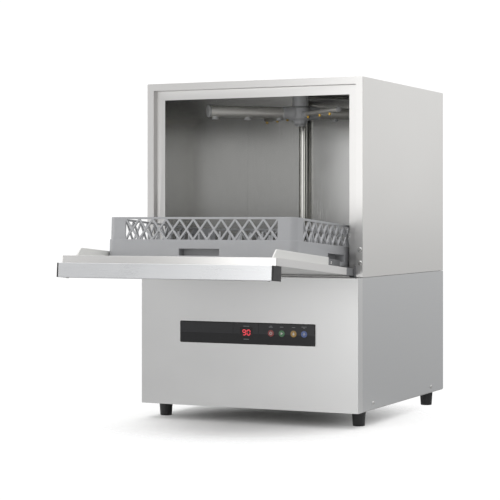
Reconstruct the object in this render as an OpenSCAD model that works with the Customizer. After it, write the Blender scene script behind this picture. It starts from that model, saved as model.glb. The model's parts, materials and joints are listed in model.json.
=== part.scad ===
// Front-loading commercial dishwasher for 500 mm racks, drawn with its door open
// and the rack half out. Millimetres, Z up, front towards -Y.
// The origin is on the floor under the middle of the whole machine, open door included.

/* [Cabinet] */
// Width of the cabinet
cab_w = 590; // [588:1:592]
// Height from the floor to the top of the hood
cab_h = 850; // [846:1:856]
// Depth of the hood
hood_d = 610; // [606:1:620]
// How far the base's front panel stands out in front of the hood
base_proud = 30; // [24:1:32]
// Height of the base's top above the floor
base_top = 363; // [361:1:363]
// Thickness of the stainless sheet
sheet = 1.2; // [1:0.1:1.6]

/* [Feet] */
// Height of a foot under the pan
foot_h = 37; // [34:1:40]
// Radius of a foot at its top
foot_r = 17; // [15:0.5:19]

/* [Front frame] */
// Width of the frame's outer flange
flange_w = 18.5; // [17.5:0.5:18.5]
// Depth of the rabbet that the door sits in
rabbet_d = 18; // [18:0.5:20]
// Width of the door opening
opening_w = 506; // [504:1:508]
// Distance from the hood's top to the opening
opening_drop = 42; // [38:1:44]

/* [Door] */
// Width of the door
door_w = 548; // [546:1:548]
// Length from the hinge axis to the door's free end
door_len = 460; // [452:1:460]
// Thickness of the door
door_t = 18; // [18:0.5:18.5]
// Angle of the open door above the horizontal
door_tilt = 4.6; // [4.4:0.1:4.8]
// Height of the guide rails over the door's inner face
rail_h = 21; // [18:1:22]

/* [Rack] */
// Side of the square rack
rack_w = 491; // [488:1:491]
// Height of the rack
rack_h = 101; // [98:1:104]
// How far the rack's front stands out of the hood
rack_out = 294; // [290:1:300]
// Pitch of the lattice cells
cell_p = 36; // [35:0.5:36]
// Pitch of the plate pegs
peg_pitch = 55; // [54:0.5:56]
// Height of the plate pegs
peg_h = 62; // [50:1:66]

/* [Spray rotors] */
// Reach of a wash tube from the rotor's axis
wash_reach = 260; // [250:1:262]
// Reach of a rinse tube from the rotor's axis
rinse_reach = 250; // [240:1:255]
// Angle of the upper rotor at rest
upper_turn = 46; // [0:1:90]
// Angle of the lower rotor at rest
lower_turn = 18; // [0:1:90]

/* [Controls] */
// Width of the control fascia
fascia_w = 368; // [364:1:372]
// Height of the control fascia
fascia_h = 54; // [50:1:56]
// Radius of a key
key_r = 8; // [7:0.5:8.5]
// Travel of a key
key_travel = 1.5; // [1:0.1:2]

/* [Hidden] */
$fn = 48;

// colours
steel = [0.80, 0.80, 0.79];
dark_steel = [0.55, 0.55, 0.55];
rack_grey = [0.62, 0.62, 0.63];
black = [0.08, 0.08, 0.09];

// cabinet
hw = cab_w / 2;
s = sheet;
pan_z = foot_h + 1;
hood_z = base_top + 1;
fit_gap = 0.5;
big = 2000;

// door and hinge
hinge_y = 2;
hinge_z = base_top + 7;
face_in = 15;
face_out = face_in - door_t;
dw = door_w / 2;
pin_r = 3.5;
pin_clear = 0.05;
handle_a = 435;
handle_b = 478;
handle_drop = 33;
handle_low = face_out - handle_drop;

// the machine is moved so that the origin is under the middle of its whole length
fitting_len = 20;
reach_front = handle_b * cos(door_tilt) - handle_low * sin(door_tilt) - hinge_y;
front_y = (reach_front - hood_d - fitting_len) / 2;

// front frame
in_w = hw - flange_w;
rabbet_top = cab_h - flange_w;
open_half = opening_w / 2;
open_top = cab_h - opening_drop;
sill_top = hinge_z + 11;
flange_y = rabbet_d;

// chamber
ch_half = hw - 6;
ch_front = flange_y + s;
ch_back = hood_d - 18;
ch_top = cab_h - 6;
ch_floor = base_top - 63;
hub_y = (ch_front + ch_back) / 2;
tank_half = 200;
tank_z = ch_floor - 100;

// rack rails and the rack's place at rest: its front stands on the door, its back on the rails
rail_z = hinge_z + 8;
rh = rack_w / 2;
rack_back_z = rail_z + 0.4;
rack_front_z = hinge_z + face_in / cos(door_tilt) + (hinge_y + rack_out) * tan(door_tilt) + fit_gap;
rack_tilt = asin((rack_front_z - rack_back_z) / rack_w);
rack_wall = 4;
band_h = 48;
rim_h = 5;

// rotors
spigot_r = 9;
turn_clear = 0.06;
up_z = cab_h - 65;
up_tube_r = 15;
low_z = ch_floor + 34;
low_tube_r = 12;
rinse_r = 6;

// controls
fascia_z = 223;
fascia_t = 2;
panel_y = -base_proud;
key_x = [66.5, 95.5, 127, 155];
key_z = fascia_z + 2;

// machinery
pump_z = 112;

// ---------- shared shapes ----------

module machine() translate([0, front_y, 0]) children();

// door parts are drawn with the hinge axis along X at the origin and the door along -Y
module on_door() machine() translate([0, hinge_y, hinge_z]) rotate([-door_tilt, 0, 0]) children();

// rack parts are drawn level, with the middle of the front's bottom edge at the origin
module on_rack() machine() translate([0, -rack_out, rack_front_z]) rotate([-rack_tilt, 0, 0]) children();

module both_sides() {
    children();
    mirror([1, 0, 0]) children();
}

// box between two corners
module block(a, b) translate(a) cube(b - a);

module along_x(x, r, len) translate([x, 0, 0]) rotate([0, 90, 0]) cylinder(r = r, h = len);

module along_y(r, len) rotate([-90, 0, 0]) cylinder(r = r, h = len);

module rounded(w, h, r) {
    square([w - 2 * r, h], center = true);
    square([w, h - 2 * r], center = true);
    for (x = [-1, 1], y = [-1, 1]) translate([x * (w / 2 - r), y * (h / 2 - r)]) circle(r);
}

// pan-head screw with its back face at the origin, head towards +Z
module screw_head(r = 4.5, h = 2.4) {
    difference() {
        cylinder(r1 = r, r2 = r * 0.72, h = h);
        translate([-r * 0.6, -0.5, h - 1]) cube([r * 1.2, 1, 2]);
        translate([-0.5, -r * 0.6, h - 1]) cube([1, r * 1.2, 2]);
    }
}

// ---------- base ----------

foot_x = hw - 29;
foot_y = [48, hood_d - 58];

module base_pan() {
    color(dark_steel) machine() difference() {
        union() {
            block([-hw + s, 1, pan_z], [hw - s, hood_d - s, pan_z + s]);
            both_sides() block([hw - 2 * s, 1, pan_z], [hw - s, hood_d - s, pan_z + 20]);
            block([-hw + s, hood_d - 2 * s, pan_z], [hw - s, hood_d - s, pan_z + 20]);
            for (x = [-foot_x, foot_x], y = foot_y) translate([x, y, pan_z]) cylinder(r = 10, h = 14);
        }
        for (x = [-foot_x, foot_x], y = foot_y) translate([x, y, pan_z - 5]) cylinder(r = 5.05, h = 30);
    }
}

module base_side() block([hw - s, 0, pan_z + 2], [hw, hood_d, base_top]);

module base_side_left() { color(steel) machine() mirror([1, 0, 0]) base_side(); }

module base_side_right() { color(steel) machine() base_side(); }

module base_front_panel() {
    cut_w = fascia_w - 12;
    cut_h = fascia_h - 10;
    color(steel) machine() difference() {
        block([-hw, panel_y, pan_z], [hw, 0, base_top]);
        block([-hw + s, panel_y + s, pan_z + s], [hw - s, 1, base_top - s]);
        block([-cut_w / 2, panel_y - 1, fascia_z - cut_h / 2],
            [cut_w / 2, panel_y + 5, fascia_z + cut_h / 2]);
    }
}

// places of the pipe and cable outlets in the base's rear panel
inlet_at = [200, 0, 150];
drain_at = [120, 0, 80];
gland_at = [-200, 0, 130];
outlets = [[inlet_at, 13], [drain_at, 16], [gland_at, 10]];

module base_rear_panel() {
    color(steel) machine() difference() {
        block([-hw + s, hood_d - s, pan_z], [hw - s, hood_d, base_top]);
        for (o = outlets) translate(o[0] + [0, hood_d - 5, 0]) along_y(o[1], 10);
        for (x = [-60 : 12 : 36]) block([x, hood_d - 5, 230], [x + 5, hood_d + 5, 290]);
    }
}

function foot_place(x, y) = [x * foot_x, foot_y[y], 0];

module foot() {
    cylinder(r1 = foot_r - 2.5, r2 = foot_r - 2, h = 3);
    translate([0, 0, 3]) cylinder(r1 = foot_r - 2, r2 = foot_r, h = foot_h - 8);
    translate([0, 0, foot_h - 5]) cylinder(r = foot_r, h = 4.6);
    cylinder(r = 5, h = foot_h + 26);
}

module foot_front_left() { color(black) machine() translate(foot_place(-1, 0)) foot(); }

module foot_front_right() { color(black) machine() translate(foot_place(1, 0)) foot(); }

module foot_rear_left() { color(black) machine() translate(foot_place(-1, 1)) foot(); }

module foot_rear_right() { color(black) machine() translate(foot_place(1, 1)) foot(); }

// ---------- hood and front frame ----------

bend_r = 3;

// front view of the hood: square below, bends at its two upper corners
module hood_outline(w, low, top, r) {
    translate([-w / 2, low]) square([w, top - low - r]);
    translate([-w / 2 + r, low]) square([w - 2 * r, top - low]);
    for (x = [-1, 1]) translate([x * (w / 2 - r), top - r]) circle(r);
}

// one sheet folded over the top
module hood_shell() {
    color(steel) machine() translate([0, hood_d - s, 0]) rotate([90, 0, 0])
        linear_extrude(hood_d - 2 * s) difference() {
            hood_outline(cab_w, hood_z, cab_h, bend_r);
            hood_outline(cab_w - 2 * s, hood_z - 1, cab_h - s, bend_r - s);
        }
}

module hood_rear_panel() {
    color(steel) machine() difference() {
        block([-hw + 1, hood_d - s, hood_z], [hw - 1, hood_d, cab_h - 1]);
        for (z = [700 : 14 : 770]) block([-60, hood_d - 5, z], [60, hood_d + 5, z + 5]);
    }
}

// outer flange, a web that forms the door's rabbet, and an inner flange round the opening
module front_frame() {
    color(steel) machine() difference() {
        union() {
            translate([0, s, 0]) rotate([90, 0, 0]) linear_extrude(s)
                hood_outline(cab_w, hood_z, cab_h, bend_r);
            block([-in_w - s, 0, hood_z], [in_w + s, flange_y + s, rabbet_top + s]);
            block([-in_w - s, flange_y, ch_floor - s], [in_w + s, flange_y + s, hood_z]);
        }
        block([-in_w, -1, hood_z - 50], [in_w, flange_y, rabbet_top]);
        block([-open_half, -1, sill_top], [open_half, flange_y + 5, open_top]);
    }
}

module panel_screws() {
    color(steel) machine() {
        both_sides() for (z = [399, 431]) translate([287.5, 0, z]) rotate([90, 0, 0]) screw_head();
        both_sides() for (y = [70, 508]) translate([hw, y, 54]) rotate([0, 90, 0]) screw_head(4, 2);
        both_sides() for (z = [60, 330, 380, 830])
            translate([250, hood_d, z]) rotate([-90, 0, 0]) screw_head(4, 2);
    }
}

// ---------- wash chamber ----------

module chamber_side_walls() {
    color(dark_steel) machine() both_sides()
        block([ch_half, ch_front, ch_floor], [ch_half + s, ch_back, ch_top]);
}

module chamber_rear_wall() {
    color(dark_steel) machine()
        block([-ch_half - s, ch_back, ch_floor], [ch_half + s, ch_back + s, ch_top]);
}

module chamber_ceiling() {
    color(dark_steel) machine()
        block([-ch_half - s, ch_front, ch_top], [ch_half + s, ch_back + s, ch_top + s]);
}

module chamber_floor() {
    color(dark_steel) machine() difference() {
        block([-ch_half - s, ch_front, ch_floor - s], [ch_half + s, ch_back + s, ch_floor]);
        block([-tank_half, hub_y - tank_half, 0], [tank_half, hub_y + tank_half, big]);
    }
}

// places in the tank's floor
standpipe_at = [150, hub_y - 147, 0];
strainer_at = [-110, hub_y - 90, 0];

module wash_tank() {
    color(dark_steel) machine() difference() {
        block([-tank_half - s, hub_y - tank_half - s, tank_z],
            [tank_half + s, hub_y + tank_half + s, ch_floor - s]);
        block([-tank_half, hub_y - tank_half, tank_z + s],
            [tank_half, hub_y + tank_half, ch_floor + 1]);
        translate(standpipe_at) cylinder(r = 12, h = big);
        translate(strainer_at) cylinder(r = 24, h = big);
    }
}

// two perforated trays that cover the tank, with room for the hub and the standpipe
module filter_trays() {
    tray_t = 3;
    color(dark_steel) machine() difference() {
        both_sides() block([0.5, hub_y - tank_half - 6, ch_floor],
            [tank_half + 6, hub_y + tank_half + 6, ch_floor + tray_t]);
        translate([0, hub_y, 0]) cylinder(r = 24, h = big);
        translate(standpipe_at) cylinder(r = 22, h = big);
        both_sides() for (i = [0 : 7], j = [0 : 7])
            if (abs(i - 6) > 1.2 || abs(j - 0.8) > 1.4)
                block([34 + i * 21, hub_y - 186 + j * 48, 0], [40 + i * 21, hub_y - 152 + j * 48, big]);
    }
}

module suction_strainer() {
    color(steel) machine() translate(strainer_at + [0, 0, tank_z + s]) difference() {
        cylinder(r = 40, h = 60);
        translate([0, 0, -1]) cylinder(r = 38, h = 59);
        for (a = [0 : 30 : 150], z = [8 : 12 : 44]) translate([0, 0, z]) rotate([0, 0, a])
            block([-60, -5, 0], [60, 5, 6]);
    }
}

module standpipe() {
    z0 = tank_z + s + 0.1;
    color(rack_grey) machine() translate(standpipe_at) difference() {
        union() {
            translate([0, 0, z0]) cylinder(r = 16, h = ch_floor - 8 - z0);
            translate([0, 0, ch_floor - 8]) cylinder(r = 19, h = 7);
        }
        translate([0, 0, z0 - 1]) cylinder(r = 13, h = ch_floor - 12 - z0);
        translate([0, 0, ch_floor - 30]) rotate([0, 90, 0]) cylinder(r = 4, h = 60, center = true);
    }
}

// two angle rails that carry the rack, each on three brackets from the side wall
module rack_rails() {
    y0 = ch_front + 12;
    y1 = ch_back - 20;
    foot_w = 22;
    color(steel) machine() both_sides() {
        block([rh - foot_w, y0, rail_z - s], [rh + 4, y1, rail_z]);
        block([rh + 2.5, y0, rail_z], [rh + 4, y1, rail_z + 18]);
        for (y = [y0 + 30, (y0 + y1) / 2, y1 - 50])
            block([rh + 4, y, rail_z + 4], [ch_half, y + 20, rail_z + 14]);
    }
}

// ---------- water supply and rotors ----------

// run of a pipe up the rear wall and under the ceiling to the upper hub
module pipe_run(x, y, r, low, z) {
    dx = -x;
    dy = hub_y - y;
    translate([x, y, low]) cylinder(r = r, h = z - low);
    translate([x, y, z]) sphere(r = r);
    translate([x, y, z]) rotate([0, 0, atan2(dy, dx)]) rotate([0, 90, 0])
        cylinder(r = r, h = norm([dx, dy]));
}

module riser(x, y, r, z) {
    wall = 1.5;
    difference() {
        union() {
            pipe_run(x, y, r, ch_floor, z);
            translate([x, y, ch_floor]) cylinder(r = r + 7, h = 4);
        }
        pipe_run(x, y, r - wall, ch_floor - 1, z);
        translate([0, hub_y, 0]) cylinder(r = 21, h = big);
    }
}

module supply_pipes() {
    color(steel) machine() {
        riser(-106, ch_back - 20, 12, ch_top - 14);
        riser(172, ch_back - 14, 7, ch_top - 12);
    }
}

module upper_hub_mount() {
    color(dark_steel) machine() translate([0, hub_y, 0]) {
        translate([0, 0, up_z + 18]) cylinder(r = 21, h = ch_top - up_z - 18);
        translate([0, 0, up_z - 30]) cylinder(r = spigot_r, h = 60);
        translate([0, 0, up_z - 34]) cylinder(r = 14, h = 4);
    }
}

module lower_hub_mount() {
    color(dark_steel) machine() translate([0, hub_y, 0]) {
        translate([0, 0, tank_z + s]) cylinder(r = 21, h = low_z - 18 - tank_z - s);
        translate([0, 0, low_z - 20]) cylinder(r = spigot_r, h = 43);
        translate([0, 0, low_z + 22.5]) cylinder(r = 14, h = 4.5);
    }
}

hub_wide = 26;
low_hub_wide = 24;
hub_bore = spigot_r + turn_clear;

// a hub is widest where its tubes leave and narrows towards the nut that holds it
module upper_spray_hub() {
    color(dark_steel) machine() translate([0, hub_y, up_z]) rotate_extrude()
        polygon([[hub_bore, -29], [17, -29], [19, -20], [hub_wide, -14], [hub_wide, 12],
            [20, 17.5], [hub_bore, 17.5]]);
}

module lower_spray_hub() {
    color(dark_steel) machine() translate([0, hub_y, low_z]) rotate_extrude()
        polygon([[hub_bore, -17.5], [20, -17.5], [low_hub_wide, -14], [low_hub_wide, 13],
            [18, 17], [17, 22], [hub_bore, 22]]);
}

module on_rotor(z, turn) machine() translate([0, hub_y, z]) rotate([0, 0, turn]) children();

// a pair of hollow tubes, closed at their outer ends and open into the hub
module tube_pair(r, reach, wall, hub) {
    for (a = [0, 180]) rotate([0, 0, a]) difference() {
        along_x(hub - 6, r, reach - hub + 6);
        along_x(0, r - wall, reach - 3);
        translate([0, 0, -40]) cylinder(r = hub, h = 80);
    }
}

// radii of the wash nozzles: the two sides are staggered so that their rings interleave
nozzle_r = [[60, 150, 240], [100, 190]];
jet_r = [[52, 129, 193], [90, 163, 240]];

module wash_nozzles(r, side) {
    difference() {
        for (k = [0, 1], d = nozzle_r[k]) rotate([0, 0, 180 * (1 - k)])
            translate([d, 0, side > 0 ? r - 3 : -r - 6]) cylinder(r = 9, h = 9);
        along_x(-400, r, 800);
    }
}

module rinse_jets(r, side) {
    difference() {
        for (k = [0, 1], d = jet_r[k]) rotate([0, 0, 180 * k])
            translate([d, 0, side > 0 ? r - 2 : -r - 6]) cylinder(r = 3.2, h = 8);
        along_x(-400, r, 800);
    }
}

module upper_wash_tubes() {
    color(steel) on_rotor(up_z, upper_turn) tube_pair(up_tube_r, wash_reach, 1.5, hub_wide);
}

module upper_wash_nozzles() {
    color(rack_grey) on_rotor(up_z, upper_turn) wash_nozzles(up_tube_r, -1);
}

module upper_rinse_tubes() {
    color(steel) on_rotor(up_z - 4, upper_turn - 90) tube_pair(rinse_r, rinse_reach, 1.2, hub_wide);
}

module upper_rinse_jets() {
    color("goldenrod") on_rotor(up_z - 4, upper_turn - 90) rinse_jets(rinse_r, -1);
}

module lower_wash_tubes() {
    color(steel) on_rotor(low_z, lower_turn) tube_pair(low_tube_r, wash_reach, 1.5, low_hub_wide);
}

module lower_wash_nozzles() {
    color(rack_grey) on_rotor(low_z, lower_turn) wash_nozzles(low_tube_r, 1);
}

module lower_rinse_tubes() {
    color(steel) on_rotor(low_z + 2, lower_turn - 90) tube_pair(rinse_r, rinse_reach, 1.2, low_hub_wide);
}

module lower_rinse_jets() {
    color("goldenrod") on_rotor(low_z + 2, lower_turn - 90) rinse_jets(rinse_r, 1);
}

// ---------- door ----------

arm_x = 262;
arm_len = 54;

// tray with its rims turned inwards; the hinge arms take its two inner corners
module door_outer_panel() {
    color(steel) on_door() difference() {
        block([-dw, -door_len, face_out], [dw, -8, face_in]);
        block([-dw + s, -door_len + s, face_out + s], [dw - s, -8 - s, face_in + 1]);
        both_sides() block([arm_x - 0.5, -arm_len - 0.5, face_out - 1], [dw + 1, 0, face_in + 1]);
    }
}

module door_inner_panel() {
    color(steel) on_door() difference() {
        block([-dw + s, -door_len + s, face_in - s], [dw - s, -8 - s, face_in]);
        both_sides() block([arm_x - 0.5, -arm_len - 0.5, 0], [dw + 1, 0, face_in + 1]);
    }
}

rail_in = rh + 1.5;
rail_t = 4;
rail_a = 113;
rail_b = 432;

// plastic strips with sloping front ends that keep the rack in line
module door_guide_rails() {
    color([0.85, 0.85, 0.84]) on_door() both_sides()
        translate([rail_in, 0, 0]) rotate([90, 0, 90]) linear_extrude(rail_t)
            polygon([[-rail_a, face_in], [-rail_b, face_in], [-rail_b, face_in + 3],
                [-rail_b + 18, face_in + rail_h], [-rail_a, face_in + rail_h]]);
}

module door_rail_brackets() {
    color(dark_steel) on_door() both_sides()
        block([rail_in, -rail_a + 0.5, face_in], [rail_in + rail_t, -42, face_in + rail_h - 3]);
}

module door_screws() {
    color(steel) on_door() both_sides() {
        translate([rail_in + rail_t, -rail_a + 16, face_in + 9]) rotate([0, 90, 0]) screw_head(3, 1.4);
        translate([dw - 30, -34, face_in]) screw_head(3.5, 1.4);
        translate([dw - 20, -handle_b + 18, handle_low]) mirror([0, 0, 1]) screw_head(4, 1.8);
    }
}

cap_t = 4;

// channel with its open side towards the hinge, so that fingers reach in behind it
module door_handle_bar() {
    wall = 3;
    w = dw - 1.5 - cap_t;
    color([0.78, 0.78, 0.79]) on_door() difference() {
        block([-w, -handle_b, handle_low], [w, -handle_a, face_out]);
        block([-w - 1, -handle_b + wall, handle_low + wall], [w + 1, -handle_a + 1, face_out - wall]);
        block([-w - 1, -handle_a - 10, handle_low - 1], [w + 1, -handle_a + 1, face_out - wall]);
    }
}

module door_handle_caps() {
    color(black) on_door() both_sides()
        block([dw - 1.5 - cap_t, -handle_b, handle_low], [dw - 1.5, -handle_a, face_out]);
}

module door_hinge_arms() {
    barrel = 6;
    color(dark_steel) on_door() both_sides() difference() {
        union() {
            block([arm_x, -arm_len, face_out], [dw, -8, face_in]);
            block([arm_x, -9, face_out], [dw, 0, barrel]);
            along_x(arm_x, barrel, dw - arm_x);
        }
        along_x(arm_x - 1, pin_r + pin_clear, 20);
    }
}

// plates on the frame's web that hold the pins
module hinge_brackets() {
    plate = 1.8;
    color(dark_steel) machine() both_sides() difference() {
        block([in_w - plate, -6, hood_z], [in_w, flange_y, hinge_z + 22]);
        translate([0, hinge_y, hinge_z]) along_x(in_w - 5, pin_r + pin_clear, 10);
    }
}

module hinge_pins() {
    color(steel) machine() translate([0, hinge_y, hinge_z]) both_sides() {
        along_x(arm_x - 0.4, pin_r, in_w - arm_x + 0.2);
        along_x(arm_x - 2.6, 5.4, 2.4);
    }
}

// ---------- rack ----------

// holes of one lattice window, n cells wide, centred on X, from z = 0 to h
module lattice_holes(n, h) {
    bar = 4.5;
    slope = atan2(h, cell_p);
    dv = bar / 2 / cos(slope);
    dh = bar / 2 / sin(slope);
    translate([-n * cell_p / 2, 0]) {
        for (i = [0 : n - 1]) translate([i * cell_p, 0]) {
            polygon([[dh, 0], [cell_p - dh, 0], [cell_p / 2, h / 2 - dv]]);
            polygon([[dh, h], [cell_p / 2, h / 2 + dv], [cell_p - dh, h]]);
        }
        for (i = [1 : n - 1]) translate([i * cell_p, h / 2])
            polygon([[-cell_p / 2 + dh, 0], [0, -h / 2 + dv], [cell_p / 2 - dh, 0], [0, h / 2 - dv]]);
        for (x = [0, 1]) translate([x * n * cell_p, 0]) mirror([x, 0, 0])
            polygon([[0, dv], [cell_p / 2 - dh, h / 2], [0, h - dv]]);
    }
}

band_out = 2.5;
grid_half = rh - band_out - rack_wall;

// wall with lattice windows above a plain band; a blind pocket in each side takes the fingers
module rack_frame() {
    win_z = band_h;
    win_h = rack_h - band_h - rim_h;
    slot_w = 105;
    slot_z = 10.6;
    slot_h = 16.4;
    pocket_d = 24;
    pocket_t = 2.5;
    color(rack_grey) on_rack() translate([0, rh, 0]) difference() {
        union() {
            difference() {
                union() {
                    linear_extrude(band_h) rounded(rack_w, rack_w, 18);
                    translate([0, 0, band_h]) linear_extrude(rack_h - band_h)
                        rounded(rack_w - 2 * band_out, rack_w - 2 * band_out, 16);
                }
                translate([0, 0, -1]) linear_extrude(rack_h + 2)
                    rounded(2 * grid_half, 2 * grid_half, 14);
            }
            for (a = [0 : 90 : 270]) rotate([0, 0, a])
                block([-slot_w / 2 - pocket_t, -grid_half - 2, slot_z - pocket_t],
                    [slot_w / 2 + pocket_t, -rh + pocket_d + pocket_t, slot_z + slot_h + pocket_t]);
        }
        for (a = [0, 90]) rotate([0, 0, a]) translate([0, big / 2, win_z]) rotate([90, 0, 0])
            linear_extrude(big) lattice_holes(11, win_h);
        for (a = [0 : 90 : 270]) rotate([0, 0, a])
            block([-slot_w / 2, -big, slot_z], [slot_w / 2, -rh + pocket_d, slot_z + slot_h]);
    }
}
grid_top = 8;

module rack_floor() {
    n = 8;
    color(rack_grey) on_rack() translate([0, rh, 0]) {
        for (i = [-n / 2 + 0.5 : n / 2 - 0.5], a = [0, 90]) rotate([0, 0, a])
            block([i * peg_pitch - 2, -grid_half, 2], [i * peg_pitch + 2, grid_half, grid_top]);
    }
}

// rows of pegs on a common strip; plates stand between the rows
module rack_pegs() {
    n = 8;
    color(rack_grey) on_rack() translate([0, rh, grid_top])
        for (j = [-n / 2 + 0.5 : n / 2 - 0.5]) translate([0, j * peg_pitch, 0]) {
            block([-peg_pitch * 3.5 - 3, -2, 0], [peg_pitch * 3.5 + 3, 2, 3]);
            for (i = [-n / 2 + 0.5 : n / 2 - 0.5]) translate([i * peg_pitch, 0, 0])
                block([-3, -2, 0], [3, 2, peg_h]);
        }
}

// ---------- controls ----------

display_x = 0;
display_w = 34;
display_h = 24;
display_z = fascia_z + 2;

module control_fascia() {
    color(black) machine() difference() {
        translate([0, panel_y, fascia_z]) rotate([90, 0, 0]) linear_extrude(fascia_t)
            rounded(fascia_w, fascia_h, 3);
        for (x = key_x) translate([x, panel_y - 9, key_z]) along_y(key_r + 0.4, 12);
        block([display_x - display_w / 2, panel_y - 9, display_z - display_h / 2],
            [display_x + display_w / 2, panel_y + 9, display_z + display_h / 2]);
    }
}

module display() {
    color("darkred") machine()
        block([display_x - display_w / 2, panel_y - fascia_t + 0.3, display_z - display_h / 2],
            [display_x + display_w / 2, panel_y + 9, display_z + display_h / 2]);
}

module control_board() {
    color("darkgreen") machine() {
        block([-170, panel_y + 12, fascia_z - 20], [170, panel_y + 13.6, fascia_z + 20]);
        both_sides() for (z = [-16, 16]) translate([160, panel_y, fascia_z + z]) along_y(3, 12);
    }
}

module key_at(i, c) {
    color(c) machine() translate([key_x[i], 0, key_z]) {
        translate([0, panel_y - fascia_t - 0.8, 0]) along_y(key_r, 6);
        translate([0, panel_y - fascia_t + 5, 0]) along_y(3, 5);
    }
}

module key_power() { key_at(0, "firebrick"); }

module key_cycle() { key_at(1, "seagreen"); }

module key_rinse() { key_at(2, "goldenrod"); }

module key_drain() { key_at(3, "steelblue"); }

// ---------- machinery in the base ----------

volute_r = 52;
volute_w = 36;
impeller_r = 42;
motor_len = 140;
pump_at = [strainer_at[0] - volute_w / 2, strainer_at[1], pump_z];

// volute with a hollow for the impeller, and the motor behind it on a stand
module wash_pump() {
    color([0.25, 0.25, 0.27]) machine() translate(pump_at) difference() {
        union() {
            along_x(0, volute_r, volute_w);
            along_x(-motor_len, 48, motor_len);
            block([-motor_len + 20, -40, pan_z + s - pump_z], [-20, 40, -30]);
            translate([volute_w / 2, 0, 0]) cylinder(r = 15, h = tank_z - pump_z);
        }
        along_x(4, impeller_r + 4, volute_w - 8);
        along_x(-20, 6, 30);
        along_x(-motor_len + 12, 34, motor_len - 28);
        along_x(volute_w - 10, 14, 30);
        translate([volute_w / 2, 0, 0]) cylinder(r = 12, h = tank_z);
    }
}

module pump_impeller() {
    color(steel) machine() translate(pump_at) {
        along_x(8, impeller_r, 3);
        along_x(-16, 6 - pin_clear, 24);
        for (a = [0 : 60 : 300]) rotate([a, 0, 0]) block([10, 6, -1.5], [19, impeller_r - 1, 1.5]);
        along_x(10, 12, 10);
    }
}

module boiler() {
    color([0.7, 0.7, 0.68]) machine() translate([-150, hood_d - 100, pan_z + 80]) difference() {
        union() {
            along_x(0, 62, 300);
            along_x(-6, 66, 6);
            along_x(300, 40, 5);
            for (x = [30, 230]) block([x, -30, s - 80], [x + 30, 30, -40]);
        }
        along_x(-30, 8, 40);
        along_x(2, 60, 296);
    }
}

module drain_pump() {
    color([0.25, 0.25, 0.27]) machine() translate([standpipe_at[0], standpipe_at[1], 0]) difference() {
        union() {
            translate([0, 0, pan_z + s]) cylinder(r = 34, h = 60);
            translate([0, 0, pan_z + s + 60]) cylinder(r = 15, h = tank_z - pan_z - s - 60);
            translate([0, 0, pan_z + 40]) rotate([0, 0, -20]) along_x(0, 12, 60);
        }
        translate([0, 0, pan_z + 60]) cylinder(r = 12, h = big);
    }
}

// water inlet union, drain spigot and cable gland on the rear panel
module rear_fittings() {
    color(dark_steel) machine() translate([0, hood_d, 0]) {
        translate(inlet_at) difference() {
            union() {
                translate([0, -14, 0]) along_y(12.9, 14 + fitting_len);
                along_y(18, 5);
            }
            translate([0, -20, 0]) along_y(8, 60);
        }
        translate(drain_at) difference() {
            union() {
                translate([0, -14, 0]) along_y(15.9, 14 + fitting_len);
                along_y(21, 4);
            }
            translate([0, -20, 0]) along_y(12, 60);
        }
        translate(gland_at) difference() {
            union() {
                translate([0, -10, 0]) along_y(9.9, 10 + fitting_len - 4);
                along_y(14, 7);
            }
            translate([0, -20, 0]) along_y(5.5, 60);
        }
    }
}

base_pan();
base_side_left();
base_side_right();
base_front_panel();
base_rear_panel();
hood_shell();
hood_rear_panel();
front_frame();
chamber_side_walls();
chamber_rear_wall();
chamber_ceiling();
chamber_floor();
wash_tank();
filter_trays();
suction_strainer();
standpipe();
rack_rails();
supply_pipes();
upper_hub_mount();
lower_hub_mount();
upper_spray_hub();
upper_wash_tubes();
upper_wash_nozzles();
upper_rinse_tubes();
upper_rinse_jets();
lower_spray_hub();
lower_wash_tubes();
lower_wash_nozzles();
lower_rinse_tubes();
lower_rinse_jets();
door_outer_panel();
door_inner_panel();
door_guide_rails();
door_rail_brackets();
door_handle_bar();
door_handle_caps();
door_hinge_arms();
door_screws();
hinge_brackets();
hinge_pins();
rack_frame();
rack_floor();
rack_pegs();
control_fascia();
display();
control_board();
key_power();
key_cycle();
key_rinse();
key_drain();
foot_front_left();
foot_front_right();
foot_rear_left();
foot_rear_right();
wash_pump();
pump_impeller();
boiler();
drain_pump();
rear_fittings();
panel_screws();
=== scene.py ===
"""Looks of a front-loading commercial dishwasher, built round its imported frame."""
import json
import logging
import math
from dataclasses import dataclass, field
from enum import Enum
from typing import Iterable, Sequence

import bmesh
import bpy
from mathutils import Matrix, Vector


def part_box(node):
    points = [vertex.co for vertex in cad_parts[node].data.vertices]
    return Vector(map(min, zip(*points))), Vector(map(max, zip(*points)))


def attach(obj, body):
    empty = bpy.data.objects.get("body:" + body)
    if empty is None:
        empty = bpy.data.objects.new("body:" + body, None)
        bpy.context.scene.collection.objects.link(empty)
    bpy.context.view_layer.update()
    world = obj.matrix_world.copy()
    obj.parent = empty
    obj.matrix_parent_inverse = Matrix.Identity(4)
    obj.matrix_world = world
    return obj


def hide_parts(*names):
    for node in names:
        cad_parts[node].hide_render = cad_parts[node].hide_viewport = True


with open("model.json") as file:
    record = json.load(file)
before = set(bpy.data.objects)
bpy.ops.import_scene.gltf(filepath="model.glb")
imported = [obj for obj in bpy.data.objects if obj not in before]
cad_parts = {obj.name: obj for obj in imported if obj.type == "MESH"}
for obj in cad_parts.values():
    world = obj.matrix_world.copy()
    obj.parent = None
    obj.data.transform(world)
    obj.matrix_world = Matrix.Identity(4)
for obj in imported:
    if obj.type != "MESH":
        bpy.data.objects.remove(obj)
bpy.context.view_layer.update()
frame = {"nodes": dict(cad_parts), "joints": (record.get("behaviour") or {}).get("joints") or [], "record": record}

MM = 0.001
FLAT_DEG = 0.6
ROUNDED_DEG = 34.0
SHARP_DEG = 30.0
CREASE_DEG = 32.0
LOG = logging.getLogger("dishwasher")
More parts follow.
